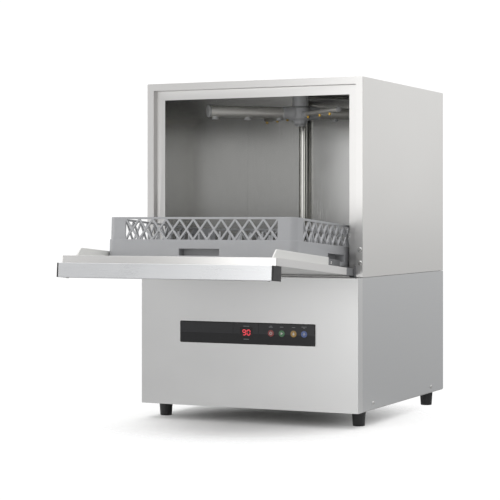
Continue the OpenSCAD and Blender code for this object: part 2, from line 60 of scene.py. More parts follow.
Socket = bpy.types.NodeSocket
SLOT_OF: dict[str, str] = {p["node"]: p["material_slot"] for p in frame["record"]["subparts"]}
JOINTS: dict[str, dict] = {j["name"]: j for j in frame["joints"]}


class Axis(Enum):
    """Direction of a grain or of a turned part."""

    X = 0
    Y = 1
    Z = 2

    @property
    def vector(self) -> Vector:
        """Unit vector along the axis."""
        return Vector([1.0 if i == self.value else 0.0 for i in range(3)])


# ---------------------------------------------------------------- materials


def linear(code: str) -> tuple[float, float, float, float]:
    """Turns an sRGB hex colour into linear values.

    Args:
        code: Six hex digits, such as "C8C6C2".

    Returns:
        Linear red, green, blue and an alpha of one.
    """
    values = [int(code[i:i + 2], 16) / 255 for i in (0, 2, 4)]
    r, g, b = [v / 12.92 if v <= 0.04045 else ((v + 0.055) / 1.055) ** 2.4 for v in values]
    return (r, g, b, 1.0)


def add_node(tree: bpy.types.NodeTree, kind: str, inputs: dict[str | int, object] | None = None,
             **settings: object) -> bpy.types.Node:
    """Adds one node with its settings, its input values and its links.

    Args:
        tree: Node tree that receives the node.
        kind: Blender's name of the node type.
        inputs: Input name or number to a value, or to the socket that feeds it.
        settings: Properties of the node itself.

    Returns:
        The new node.
    """
    node = tree.nodes.new(kind)
    for name, value in settings.items():
        setattr(node, name, value)
    for key, value in (inputs or {}).items():
        if isinstance(value, Socket):
            tree.links.new(value, node.inputs[key])
        else:
            node.inputs[key].default_value = value
    return node


@dataclass(frozen=True)
class Finish:
    """A surface: what it is made of and how it was made."""

    name: str
    colour: str
    roughness: float
    metallic: float = 0.0
    ior: float = 1.5
    tint: float = 0.04
    mottle_mm: float = 90.0
    rough_spread: float = 0.05
    grain_mm: float = 0.8
    grain_depth_mm: float = 0.02
    coat: float = 0.0

    def stretch(self) -> tuple[float, float, float]:
        """Scale of the grain along X, Y and Z, per metre: even in all directions."""
        per_metre = 1000.0 / self.grain_mm
        return (per_metre, per_metre, per_metre)

    def material(self) -> bpy.types.Material:
        """Returns this finish's material, made at its first use."""
        known = bpy.data.materials.get(self.name)
        if known:
            return known
        made = bpy.data.materials.new(self.name)
        made.use_nodes = True
        made.diffuse_color = linear(self.colour)
        tree = made.node_tree
        tree.nodes.clear()
        shader = add_node(tree, "ShaderNodeBsdfPrincipled", {
            "Metallic": self.metallic, "Coat Weight": self.coat, "Coat Roughness": 0.04})
        if self.metallic < 0.5:
            shader.inputs["IOR"].default_value = self.ior
        self.dress(tree, shader)
        add_node(tree, "ShaderNodeOutputMaterial", {"Surface": self.cover(tree, shader)})
        return made

    def cover(self, tree: bpy.types.NodeTree, shader: bpy.types.Node) -> Socket:
        """Returns the socket that the surface shows, which is the plain shader here."""
        return shader.outputs[0]

    def dress(self, tree: bpy.types.NodeTree, shader: bpy.types.Node) -> None:
        """Adds the uneven colour, the uneven gloss and the grain.

        Args:
            tree: Node tree of the material.
            shader: Its principled shader.
        """
        place = add_node(tree, "ShaderNodeTexCoord").outputs["Object"]
        mottle = add_node(tree, "ShaderNodeTexNoise", {
            "Vector": place, "Scale": 1000.0 / self.mottle_mm, "Detail": 4.0, "Roughness": 0.55})
        grid = add_node(tree, "ShaderNodeMapping", {"Vector": place, "Scale": self.stretch()})
        grain = add_node(tree, "ShaderNodeTexNoise", {
            "Vector": grid.outputs[0], "Scale": 1.0, "Detail": 3.0, "Roughness": 0.6})
        r, g, b, _ = linear(self.colour)
        low, high = 1.0 - self.tint, 1.0 + self.tint
        shade = add_node(tree, "ShaderNodeMix", {
            0: mottle.outputs[0],
            6: (r * low, g * low, b * low, 1.0),
            7: (min(r * high, 1.0), min(g * high, 1.0), min(b * high, 1.0), 1.0)},
            data_type="RGBA")
        tree.links.new(shade.outputs[2], shader.inputs["Base Color"])
        both = add_node(tree, "ShaderNodeMath", {0: mottle.outputs[0], 1: grain.outputs[0]},
                        operation="ADD")
        rough = add_node(tree, "ShaderNodeMapRange", {
            "Value": both.outputs[0], "From Min": 0.6, "From Max": 1.4,
            "To Min": max(self.roughness - self.rough_spread, 0.02),
            "To Max": self.roughness + self.rough_spread})
        tree.links.new(rough.outputs[0], shader.inputs["Roughness"])
        bump = add_node(tree, "ShaderNodeBump", {
            "Height": grain.outputs[0], "Distance": self.grain_depth_mm * MM, "Strength": 1.0})
        tree.links.new(bump.outputs[0], shader.inputs["Normal"])


@dataclass(frozen=True)
class BrushedSteel(Finish):
    """304 stainless sheet, brushed with a belt: long scratches blur reflections across them."""

    metallic: float = 1.0
    along: Axis = Axis.Z
    streak_mm: float = 140.0

    def stretch(self) -> tuple[float, float, float]:
        """Scale of the scratches: long along the brushing, fine across it."""
        fine, slow = 1000.0 / self.grain_mm, 1000.0 / self.streak_mm
        scale = [fine, fine, fine]
        scale[self.along.value] = slow
        return (scale[0], scale[1], scale[2])


@dataclass(frozen=True)
class Glow(Finish):
    """A lit mark: light passes through a printed or moulded window."""

    strength: float = 2.0

    def dress(self, tree: bpy.types.NodeTree, shader: bpy.types.Node) -> None:
        """Adds the even surface and its light, with a slight fall-off in the diffuser's grain."""
        super().dress(tree, shader)
        shader.inputs["Emission Color"].default_value = linear(self.colour)
        shader.inputs["Emission Strength"].default_value = self.strength


@dataclass(frozen=True)
class SeamlessPaint(Finish):
    """Matt floor paint that thins out into the white room, so that no horizon shows."""

    solid_m: float = 0.10
    gone_m: float = 0.62

    def cover(self, tree: bpy.types.NodeTree, shader: bpy.types.Node) -> Socket:
        """Returns the paint, mixed with clear air by the distance from the middle."""
        place = add_node(tree, "ShaderNodeTexCoord").outputs["Object"]
        reach = add_node(tree, "ShaderNodeVectorMath", {0: place}, operation="LENGTH")
        thin = add_node(tree, "ShaderNodeMapRange", {
            "Value": reach.outputs["Value"], "From Min": self.solid_m, "From Max": self.gone_m,
            "To Min": 0.0, "To Max": 1.0}, interpolation_type="SMOOTHERSTEP")
        clear = add_node(tree, "ShaderNodeBsdfTransparent")
        mix = add_node(tree, "ShaderNodeMixShader", {
            0: thin.outputs[0], 1: shader.outputs[0], 2: clear.outputs[0]})
        return mix.outputs[0]


# Brushed 304 sheet. Real scratches are about 0.1 mm apart; they are drawn 0.9 mm apart to show.
HOOD_STEEL = BrushedSteel("brushed_hood_sheet", "CFCECB", 0.33, grain_mm=0.9, grain_depth_mm=0.012,
                          tint=0.03, mottle_mm=220.0)
BASE_STEEL = BrushedSteel("brushed_base_sheet", "CBCBCA", 0.32, grain_mm=0.9, grain_depth_mm=0.012,
                          tint=0.03, mottle_mm=220.0, along=Axis.X)
# Base sides: a darker copy of the base sheet, painted shade on the sides.
SIDE_STEEL_PAINTED_SHADE = BrushedSteel("brushed_base_side_sheet_painted_shade", "BFC0C0", 0.34, grain_mm=0.9,
                          grain_depth_mm=0.012, tint=0.03, mottle_mm=220.0, along=Axis.Y)
# Frame and door skins are polished finer than the hood, and their grain is nearly flat.
FRAME_STEEL = BrushedSteel("satin_frame_sheet", "D6D5D3", 0.29, grain_mm=1.0,
                           grain_depth_mm=0.0015, tint=0.02, mottle_mm=160.0,
                           rough_spread=0.015, along=Axis.X, streak_mm=260.0)
# The wash chamber's sheet is cold rolled and nearly smooth: soft, dark mirror images. Its colour is set lighter
# than the hood's steel, painted light that brightens the dim chamber.
CHAMBER_STEEL_PAINTED_LIGHT = BrushedSteel("rolled_chamber_sheet_painted_light", "D4D4D2", 0.22, grain_mm=1.6,
                             grain_depth_mm=0.006, tint=0.05, mottle_mm=120.0, rough_spread=0.06)
INNER_STEEL = BrushedSteel("pressed_inner_steel", "B4B4B2", 0.32, grain_mm=1.0,
                           grain_depth_mm=0.012, along=Axis.Y)
PERFORATED_STEEL = BrushedSteel("perforated_filter_steel", "B0B0AE", 0.30, grain_mm=1.0,
                                grain_depth_mm=0.01, along=Axis.X)
# Supply pipes: the colour is set darker than the chamber's steel, painted shade for the shadow that the riser
# stands in.
TUBE_STEEL_PAINTED_SHADE = BrushedSteel("polished_tube", "B5B2AB", 0.32, grain_mm=0.7, grain_depth_mm=0.006,
                          mottle_mm=60.0, along=Axis.Z)
# Spray arm tubes: the colour is set far lighter than stainless steel, painted light that makes the tubes in the
# dim chamber read light.
ARM_STEEL_PAINTED_LIGHT = BrushedSteel("drawn_arm_tube_painted_light", "F2F0EB", 0.58, grain_mm=0.8, grain_depth_mm=0.008,
                         mottle_mm=50.0, along=Axis.Z)
SCREW_STEEL = BrushedSteel("turned_screw_steel", "C6C6C4", 0.22, grain_mm=0.5,
                           grain_depth_mm=0.01, mottle_mm=8.0)
BOILER_STEEL = BrushedSteel("rolled_boiler_shell", "A8A7A3", 0.42, grain_mm=1.2,
                            grain_depth_mm=0.02, along=Axis.X)
# Die-cast zinc is grey, slightly grainy and a little glossy under its clear paint.
CAST_ZINC = Finish("painted_zinc_casting", "7C7D7F", 0.42, metallic=0.6, tint=0.08, mottle_mm=30.0,
                   grain_mm=0.9, grain_depth_mm=0.05)
# Anodised aluminium has a fine, even frosting from its etching bath.
HANDLE_ALU = BrushedSteel("anodised_handle", "D6D7D8", 0.30, grain_mm=0.7, grain_depth_mm=0.008,
                          tint=0.02, mottle_mm=150.0, along=Axis.X)
# Glass-filled polypropylene is dull and finely pitted by its mould's spark-eroded face.
RACK_PP = Finish("moulded_rack_polypropylene", "A3A4A6", 0.46, tint=0.05, mottle_mm=45.0,
                 grain_mm=1.1, grain_depth_mm=0.045, rough_spread=0.07)
RAIL_PE = Finish("machined_rail_polyethylene", "D9D9D6", 0.40, tint=0.03, mottle_mm=60.0,
                 grain_mm=0.9, grain_depth_mm=0.03)
# Hub plastic: a light grey of its own, set lighter still as painted light for the dim chamber.
HUB_PP_PAINTED_LIGHT = Finish("moulded_hub_polypropylene_painted_light", "BEBFC0", 0.38, tint=0.07, mottle_mm=25.0,
                grain_mm=0.9, grain_depth_mm=0.04)
NOZZLE_PP = Finish("moulded_nozzle_polypropylene", "B4B5B5", 0.36, tint=0.05, mottle_mm=12.0,
                   grain_mm=0.7, grain_depth_mm=0.03)
BLACK_ABS = Finish("textured_black_abs", "1D1D1F", 0.48, tint=0.12, mottle_mm=25.0,
                   grain_mm=0.8, grain_depth_mm=0.06, rough_spread=0.08)
FOOT_RUBBERED = Finish("moulded_black_foot", "1A1A1B", 0.55, tint=0.15, mottle_mm=18.0,
                       grain_mm=0.9, grain_depth_mm=0.07, rough_spread=0.1)
# Printed acrylic: a clear, hard face over black ink, so its reflections are sharp.
FASCIA_ACRYLIC = Finish("printed_black_acrylic", "0A0A0C", 0.16, ior=1.49, tint=0.1,
                        mottle_mm=120.0, grain_mm=6.0, grain_depth_mm=0.006, rough_spread=0.03)
SMOKED_WINDOW = Finish("smoked_red_window", "160606", 0.16, ior=1.49, tint=0.15, mottle_mm=20.0,
                       grain_mm=5.0, grain_depth_mm=0.003, rough_spread=0.02)
PRINT_GREY = Finish("printed_grey_line", "7C7D7F", 0.40, tint=0.06, mottle_mm=6.0,
                    grain_mm=0.4, grain_depth_mm=0.01)
PRINT_CHARCOAL = Finish("printed_charcoal_field", "202022", 0.20, ior=1.49, tint=0.06,
                        mottle_mm=60.0, grain_mm=5.0, grain_depth_mm=0.006)
PRINT_WHITE = Finish("printed_white_mark", "BDBBB6", 0.38, tint=0.04, mottle_mm=4.0,
                     grain_mm=0.4, grain_depth_mm=0.01)
SOLDER_MASK = Finish("green_solder_mask", "124A26", 0.30, tint=0.2, mottle_mm=9.0,
                     grain_mm=1.2, grain_depth_mm=0.04)
MOTOR_PAINT = Finish("painted_motor_casting", "2B2D31", 0.45, tint=0.12, mottle_mm=35.0,
                     grain_mm=1.2, grain_depth_mm=0.09)
BRASS = Finish("turned_brass", "C8A552", 0.28, metallic=1.0, tint=0.10, mottle_mm=9.0,
               grain_mm=0.5, grain_depth_mm=0.015)
DULL_BRASS = Finish("tarnished_brass_fitting", "B39458", 0.38, metallic=1.0, tint=0.16,
                    mottle_mm=14.0, grain_mm=0.7, grain_depth_mm=0.03, rough_spread=0.09)
LIT_SEGMENT = Glow("lit_red_segment", "E2404C", 0.35, tint=0.05, mottle_mm=3.0, grain_mm=0.4,
                   grain_depth_mm=0.004, strength=1.0)
DIM_SEGMENT = Finish("dark_red_segment", "2E0C0B", 0.35, tint=0.08, mottle_mm=3.0, grain_mm=0.4,
                     grain_depth_mm=0.004)


def key_finish(name: str, colour: str) -> Glow:
    """Translucent polycarbonate key, faintly lit from behind."""
    return Glow(f"{name}_polycarbonate", colour, 0.26, ior=1.58, tint=0.08, mottle_mm=5.0,
                grain_mm=0.5, grain_depth_mm=0.01, coat=0.4, strength=0.12)


# ---------------------------------------------------------------- mesh tools


def slab(bm: bmesh.types.BMesh, low: Sequence[float], high: Sequence[float],
         turn: Matrix) -> list[bmesh.types.BMVert]:
    """Adds a box between two corners.

    Args:
        bm: Mesh that receives it.
        low: Lowest corner, in metres.
        high: Highest corner, in metres.
        turn: Transform applied after the box is placed.

    Returns:
        The box's vertices.
    """
    size = Vector(high) - Vector(low)
    middle = (Vector(high) + Vector(low)) / 2
    place = Matrix.Translation(middle) @ Matrix.Diagonal((size.x, size.y, size.z, 1.0))
    return bmesh.ops.create_cube(bm, size=1.0, matrix=turn @ place)["verts"]


def pour(part: bmesh.types.BMesh, bm: bmesh.types.BMesh, place: Matrix) -> None:
    """Cleans a closed part, places it and adds it to a mesh.

    Args:
        part: The part, which is freed.
        bm: Mesh that receives it.
        place: Transform from the part to the row frame.
    """
    bmesh.ops.remove_doubles(part, verts=part.verts, dist=1e-6)
    bmesh.ops.recalc_face_normals(part, faces=part.faces)
    bmesh.ops.transform(part, matrix=place, verts=part.verts)
    shell = bpy.data.meshes.new("part")
    part.to_mesh(shell)
    part.free()
    bm.from_mesh(shell)
    bpy.data.meshes.remove(shell)


def tile(bm: bmesh.types.BMesh, outline: Sequence[tuple[float, float]], thick_mm: float,
         place: Matrix) -> None:
    """Adds a thin flat tile.

    Args:
        bm: Mesh that receives it.
        outline: Its corners on its own XY plane, in millimetres.
        thick_mm: Its thickness along its own +Z.
        place: Transform from the tile to the row frame.
    """
    part = bmesh.new()
    face = part.faces.new([part.verts.new((x * MM, y * MM, 0.0)) for x, y in outline])
    raised = bmesh.ops.extrude_face_region(part, geom=[face])["geom"]
    tops = [v for v in raised if isinstance(v, bmesh.types.BMVert)]
    bmesh.ops.translate(part, vec=(0, 0, thick_mm * MM), verts=tops)
    if not face.is_valid:
        bmesh.ops.holes_fill(part, edges=part.edges)
    pour(part, bm, place)


def lathe(bm: bmesh.types.BMesh, profile: Iterable[tuple[float, float]], place: Matrix,
          steps: int) -> None:
    """Turns a profile about its own Z axis.

    Args:
        bm: Mesh that receives the turned shape.
        profile: Radius and height of each point, in millimetres, from bottom to top.
        place: Transform from the profile's axis to the row frame.
        steps: Number of facets round the axis.
    """
    part = bmesh.new()
    points = [part.verts.new((r * MM, 0.0, z * MM)) for r, z in profile]
    edges = [part.edges.new(pair) for pair in zip(points, points[1:])]
    bmesh.ops.spin(part, geom=points + edges, cent=(0, 0, 0), axis=(0, 0, 1),
                   angle=math.tau, steps=steps, use_merge=True)
    bmesh.ops.remove_doubles(part, verts=part.verts, dist=1e-6)
    bmesh.ops.holes_fill(part, edges=part.edges)
    pour(part, bm, place)


def widen_shells(bm: bmesh.types.BMesh, factor: float) -> None:
    """Widens each separate flat shell of a mesh about its middle, and keeps its thickness.

    Args:
        bm: Mesh whose shells are screw heads or the like.
        factor: Ratio of the new width to the old.
    """
    left = set(bm.verts)
    while left:
        shell, edge = set(), {left.pop()}
        while edge:
            shell |= edge
            edge = {e.other_vert(v) for v in edge for e in v.link_edges} - shell
        left -= shell
        low = Vector([min(v.co[i] for v in shell) for i in range(3)])
        high = Vector([max(v.co[i] for v in shell) for i in range(3)])
        reach = high - low
        thin = min(range(3), key=lambda i: reach[i])
        bmesh.ops.scale(bm, vec=[1.0 if i == thin else factor for i in range(3)],
                        verts=list(shell), space=Matrix.Translation(-(low + high) / 2))


def facing(axis: Axis, at: Sequence[float]) -> Matrix:
    """Transform that lays a turned part's Z axis along a row axis.

    Args:
        axis: The row axis.
        at: Where the part's origin goes, in metres.

    Returns:
        The transform.
    """
    turn = axis.vector.to_track_quat("Z", "Y")
    return Matrix.Translation(Vector(at)) @ turn.to_matrix().to_4x4()


def bevel_all(bm: bmesh.types.BMesh, width_mm: float) -> None:
    """Rounds every sharp edge of a mesh."""
    least = math.radians(SHARP_DEG)
    sharp = [e for e in bm.edges if e.is_manifold and e.calc_face_angle(0.0) > least]
    bmesh.ops.bevel(bm, geom=sharp, offset=width_mm * MM, offset_type="OFFSET", affect="EDGES",
                    segments=2, profile=0.5, material=-1, clamp_overlap=True)


def smooth(mesh: bpy.types.Mesh) -> None:
    """Shades a mesh smooth and keeps its creases."""
    mesh.polygons.foreach_set("use_smooth", [True] * len(mesh.polygons))
    mesh.set_sharp_from_angle(angle=math.radians(CREASE_DEG))


@dataclass(frozen=True)
class Corners:
    """Straight edges along one direction, near given points, that share a large radius."""

    along: Vector
    near: tuple[Vector, ...]
    within_mm: float
    radius_mm: float

    def round(self, bm: bmesh.types.BMesh) -> None:
        """Rounds those edges of a mesh."""
        chosen = [e for e in bm.edges if self.picks(e)]
        bmesh.ops.bevel(bm, geom=chosen, offset=self.radius_mm * MM, offset_type="OFFSET",
                        affect="EDGES", segments=6, profile=0.5, material=-1,
                        clamp_overlap=False)

    def picks(self, edge: bmesh.types.BMEdge) -> bool:
        """Says whether an edge is one of these corners."""
        a, b = edge.verts[0].co, edge.verts[1].co
        run = b - a
        if run.length < 1e-6 or abs(run.normalized().dot(self.along)) < 0.999:
            return False
        middle = (a + b) / 2
        return any((middle - p).cross(self.along).length < self.within_mm * MM for p in self.near)


@dataclass
class SubAssembly:
    """A group of pieces that ride on one body."""

    body: str
    made: list[str] = field(default_factory=list)

    def piece(self, name: str, bm: bmesh.types.BMesh, finish: Finish, slot: str,
              stands_for: Sequence[str] = (), body: str | None = None) -> bpy.types.Object:
        """Turns a mesh into a finished piece of the object.

        Args:
            name: Name of the piece.
            bm: Its mesh, which is freed.
            finish: Its surface.
            slot: The record's material slot; not used.
            stands_for: CAD nodes that it replaces.
            body: Body that it rides on, if not the group's own.

        Returns:
            The new object.
        """
        mesh = bpy.data.meshes.new(name)
        bm.to_mesh(mesh)
        bm.free()
        mesh.materials.append(finish.material())
        smooth(mesh)
        obj = bpy.data.objects.new(name, mesh)
        bpy.context.scene.collection.objects.link(obj)
        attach(obj, body or self.body)
        if stands_for:
            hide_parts(*stands_for)
        self.made.append(name)
        return obj

    def refine(self, node: str, finish: Finish, edge_mm: float = 0.5, segments: int = 2,
               corners: Corners | None = None, inner: Corners | None = None,
               widen: float = 1.0) -> bpy.types.Object:
        """Copies a CAD node, joins its facets and rounds its edges.

        Args:
            node: Name of the CAD node.
            finish: Surface of the piece.
            edge_mm: Width of the rounding.
            segments: Steps across the rounding.
            corners: Edges that get a larger radius first.
            inner: Edges on the sheet's inside that get a radius too.
            widen: Ratio by which each separate flat shell is widened.

        Returns:
            The piece that stands for the node.
        """
        bm = bmesh.new()
        bm.from_mesh(frame["nodes"][node].data)
        bmesh.ops.remove_doubles(bm, verts=bm.verts, dist=2e-6)
        bmesh.ops.dissolve_limit(bm, angle_limit=math.radians(FLAT_DEG), verts=bm.verts,
                                 edges=bm.edges)
        for rounded in filter(None, (corners, inner)):
            rounded.round(bm)
        if widen != 1.0:
            widen_shells(bm, widen)
        obj = self.piece(f"{node}_piece", bm, finish, SLOT_OF[node], [node])
        if edge_mm:
            rounding = obj.modifiers.new("edge", "BEVEL")
            rounding.width = edge_mm * MM
            rounding.segments = segments
            rounding.limit_method = "ANGLE"
            rounding.angle_limit = math.radians(ROUNDED_DEG)
            rounding.use_clamp_overlap = True
            rounding.harden_normals = True
        return obj

    def report(self) -> None:
        """Logs the pieces that this group made."""
        for name in self.made:
            LOG.info("%s: %s on body %s", type(self).__name__, name, self.body)


# ---------------------------------------------------------------- the machine


@dataclass
class Cabinet(SubAssembly):
    """Base, hood, front frame and what is fixed to their outside."""

    body: str = "cabinet"
    sheet_edge_mm: float = 0.55
    fitting_mm: float = 20.0
    screw_widen: float = 1.35
    inlet_xz: tuple[float, float] = (0.200, 0.150)
    spigot_xz: tuple[float, float] = (0.120, 0.080)
    gland_xz: tuple[float, float] = (-0.200, 0.130)

    def build(self) -> None:
        """Makes the sheet-metal cabinet."""
        edge = self.sheet_edge_mm
        self.refine("base_pan", INNER_STEEL, edge)
        for node in ("base_side_left", "base_side_right"):
            self.refine(node, SIDE_STEEL_PAINTED_SHADE, edge)
        self.refine("base_front_panel", BASE_STEEL, 0.9, 3)
        self.refine("base_rear_panel", BASE_STEEL, edge)
        self.refine("hood_shell", HOOD_STEEL, edge)
        self.refine("hood_rear_panel", HOOD_STEEL, edge)
        self.refine("front_frame", FRAME_STEEL, 0.6, 3)
        self.refine("hinge_brackets", CAST_ZINC, 0.4)
        self.fittings()
        self.refine("panel_screws", SCREW_STEEL, 0.25, widen=self.screw_widen)
        self.report()

    def fittings(self) -> None:
        """Makes the threaded inlet, the barbed drain spigot and the cable gland."""
        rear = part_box("rear_fittings")[1].y - self.fitting_mm * MM
        inlet_at, spigot_at, gland_at = (
            facing(Axis.Y, (x, rear, z)) for x, z in (self.inlet_xz, self.spigot_xz, self.gland_xz))
        inlet = bmesh.new()
        lathe(inlet, self.inlet_profile(), inlet_at, 40)
        self.piece("inlet_union", inlet, DULL_BRASS, "fitting_brass", ["rear_fittings"])
        spigot = bmesh.new()
        barbs = [6.0 + 4.6 * i for i in range(3)]
        ring = [q for z in barbs for q in ((15.9, z), (15.9, z + 1.0), (15.9 - 1.1, z + 4.5))]
        lathe(spigot, [(12, -14), (15.9, -14), (15.9, 0), (21, 0), (21, 3.2), (20.2, 4), *ring,
                       (14.6, 20), (12, 20), (12, -14)], spigot_at, 40)
        self.piece("drain_spigot_tube", spigot, BLACK_ABS, "black_plastic")
        gland = bmesh.new()
        lathe(gland, [(5.5, -10), (9.9, -10), (9.9, 0), (13.2, 0), (13.2, 7)], gland_at, 6)
        lathe(gland, [(5.5, 0), (9.9, 7), (9.7, 12), (8.4, 15.4), (6.2, 16), (5.5, 15.2)],
              gland_at, 32)
        bevel_all(gland, 0.35)
        self.piece("cable_gland_nut", gland, BLACK_ABS, "black_plastic")

    def inlet_profile(self) -> list[tuple[float, float]]:
        """Section of the inlet: flange, then a thread with its crests on the stated radius."""
        crests = [(12.9 if i % 2 else 12.1, 6.2 + 0.9 * i) for i in range(14)]
        return [(8, -14), (12.9, -14), (12.9, 0), (18, 0), (18, 4.2), (17.2, 5), (12.1, 5.2),
                *crests, (11.6, 20), (8, 20), (8, -14)]


@dataclass
class Chamber(SubAssembly):
    """Wash chamber, tank and the pipes in them."""

    body: str = "cabinet"

    def build(self) -> None:
        """Makes the chamber and its fixed fittings."""
        for node in ("chamber_side_walls", "chamber_rear_wall", "chamber_ceiling",
                     "chamber_floor", "wash_tank"):
            self.refine(node, CHAMBER_STEEL_PAINTED_LIGHT, 0.4)
        self.refine("filter_trays", PERFORATED_STEEL, 0.5)
        self.refine("suction_strainer", PERFORATED_STEEL, 0.3)
        self.refine("rack_rails", INNER_STEEL, 0.4)
        self.refine("supply_pipes", TUBE_STEEL_PAINTED_SHADE, 0.5)
        self.refine("upper_hub_mount", HUB_PP_PAINTED_LIGHT, 1.0, 3)
        self.refine("lower_hub_mount", HUB_PP_PAINTED_LIGHT, 1.0, 3)
        self.report()


@dataclass
class SprayRotor(SubAssembly):
    """A hub with two wash tubes and two rinse tubes."""

    prefix: str = "upper"
    turn_deg: float = 46.0
    tube_r_mm: float = 15.0
    rinse_r_mm: float = 6.0
    rinse_lift_mm: float = -4.0
    reach_mm: float = 260.0
    rinse_reach_mm: float = 250.0
    wash_socket_mm: tuple[float, float] = (4.6, 30.0)
    rinse_socket_mm: tuple[float, float] = (3.6, 20.0)
    up: bool = False
    nozzles_mm: tuple[float, ...] = (-60.0, -150.0, -240.0, 100.0, 190.0)

    def place(self, turn_deg: float, lift_mm: float = 0.0) -> Matrix:
        """Transform from the rotor's own axes, with a tube along X, to the row frame."""
        at = Vector(JOINTS[f"{self.body}_spin"]["pos_m"]) + Vector((0, 0, lift_mm * MM))
        return Matrix.Translation(at) @ Matrix.Rotation(math.radians(turn_deg), 4, "Z")

    def build(self) -> None:
        """Makes the rotor."""
        p = self.prefix
        self.refine(f"{p}_spray_hub", HUB_PP_PAINTED_LIGHT, 1.2, 3)
        self.refine(f"{p}_wash_tubes", ARM_STEEL_PAINTED_LIGHT, 0.8)
        self.refine(f"{p}_rinse_tubes", ARM_STEEL_PAINTED_LIGHT, 0.6)
        self.refine(f"{p}_rinse_jets", BRASS, 0.4)
        self.nozzles()
        self.sockets()
        self.report()

    def nozzles(self) -> None:
        """Makes the flared wash nozzles, each with a fan-shaped mouth."""
        r = self.tube_r_mm
        bm = bmesh.new()
        for x in self.nozzles_mm:
            spot = self.place(self.turn_deg) @ Matrix.Translation((x * MM, 0, 0))
            if not self.up:
                spot = spot @ Matrix.Rotation(math.pi, 4, "X")
            lathe(bm, [(0, r - 4), (7.4, r - 4), (7.4, r + 1.6), (9.0, r + 2.6), (9.0, r + 5.0),
                       (8.4, r + 5.8), (4.4, r + 6.0), (3.0, r + 4.6), (2.2, r + 2.0),
                       (0, r + 2.0)], spot, 28)
        self.piece(f"{self.prefix}_fan_nozzles", bm, NOZZLE_PP, "nozzle_plastic",
                   [f"{self.prefix}_wash_nozzles"])

    def sockets(self) -> None:
        """Makes the moulded sockets that the tubes leave by, and the plugs in their ends."""
        sockets, plugs = bmesh.new(), bmesh.new()
        runs = ((self.turn_deg, 0.0, self.tube_r_mm, self.reach_mm, *self.wash_socket_mm),
                (self.turn_deg - 90, self.rinse_lift_mm, self.rinse_r_mm, self.rinse_reach_mm,
                 *self.rinse_socket_mm))
        for turn, lift, r, reach, swell, length in runs:
            for half in (0, 180):
                run = self.place(turn + half, lift) @ Matrix.Rotation(math.pi / 2, 4, "Y")
                lathe(sockets, [(r - 0.4, 22.6), (r + swell, 22.6), (r + swell * 0.7, 27),
                                (r + swell * 0.4, 34), (r + 1.5, 23 + length * 0.8),
                                (r + 1.3, 22 + length), (r + 0.4, 23 + length),
                                (r - 0.4, 23 + length), (r - 0.4, 22.6)], run, 36)
                lathe(plugs, [(0, reach - 5), (r + 0.3, reach - 5), (r + 0.9, reach - 4),
                              (r + 0.9, reach - 0.4), (r * 0.8, reach + 0.6), (0, reach + 0.6)],
                      run, 32)
        self.piece(f"{self.prefix}_tube_sockets", sockets, HUB_PP_PAINTED_LIGHT, "hub_plastic")
        self.piece(f"{self.prefix}_tube_plugs", plugs, NOZZLE_PP, "nozzle_plastic")


@dataclass
class Door(SubAssembly):
    """Drop-down door with its rails and handle."""

    body: str = "door"
    half_mm: float = 274.0
    length_mm: float = 460.0
    sheet_mm: float = 1.2
    corner_mm: float = 5.0

    def place(self) -> Matrix:
        """Transform from the door's own axes, with the door along -Y, to the row frame."""
        hinge = JOINTS["door_hinge"]
        tilt = 90.0 - hinge["range_deg"][1]
        return Matrix.Translation(Vector(hinge["pos_m"])) @ Matrix.Rotation(
            -math.radians(tilt), 4, "X")

    def free_corners(self, inset_mm: float) -> Corners:
        """The two corners at the door's free end, at an inset from its outside."""
        place = self.place()
        x, y = self.half_mm - inset_mm, -self.length_mm + inset_mm
        near = tuple(place @ Vector((side * x * MM, y * MM, 0.0)) for side in (-1, 1))
        upright = place.to_3x3() @ Vector((0, 0, 1))
        return Corners(upright, near, 0.3, self.corner_mm - inset_mm)

    def build(self) -> None:
        """Makes the door."""
        skin = self.refine("door_outer_panel", FRAME_STEEL, 0.5, 3,
                           corners=self.free_corners(0.0), inner=self.free_corners(self.sheet_mm))
        skin.modifiers["edge"].angle_limit = math.radians(50)
        self.refine("door_inner_panel", FRAME_STEEL, 0.25,
                    corners=self.free_corners(self.sheet_mm))
        self.refine("door_guide_rails", RAIL_PE, 1.2, 3)
        self.refine("door_rail_brackets", CAST_ZINC, 0.6)
        self.refine("door_handle_bar", HANDLE_ALU, 0.7, 3)
        self.refine("door_handle_caps", BLACK_ABS, 0.8, 3)
        self.refine("door_hinge_arms", CAST_ZINC, 0.6)
        self.refine("door_screws", SCREW_STEEL, 0.25)
        self.report()


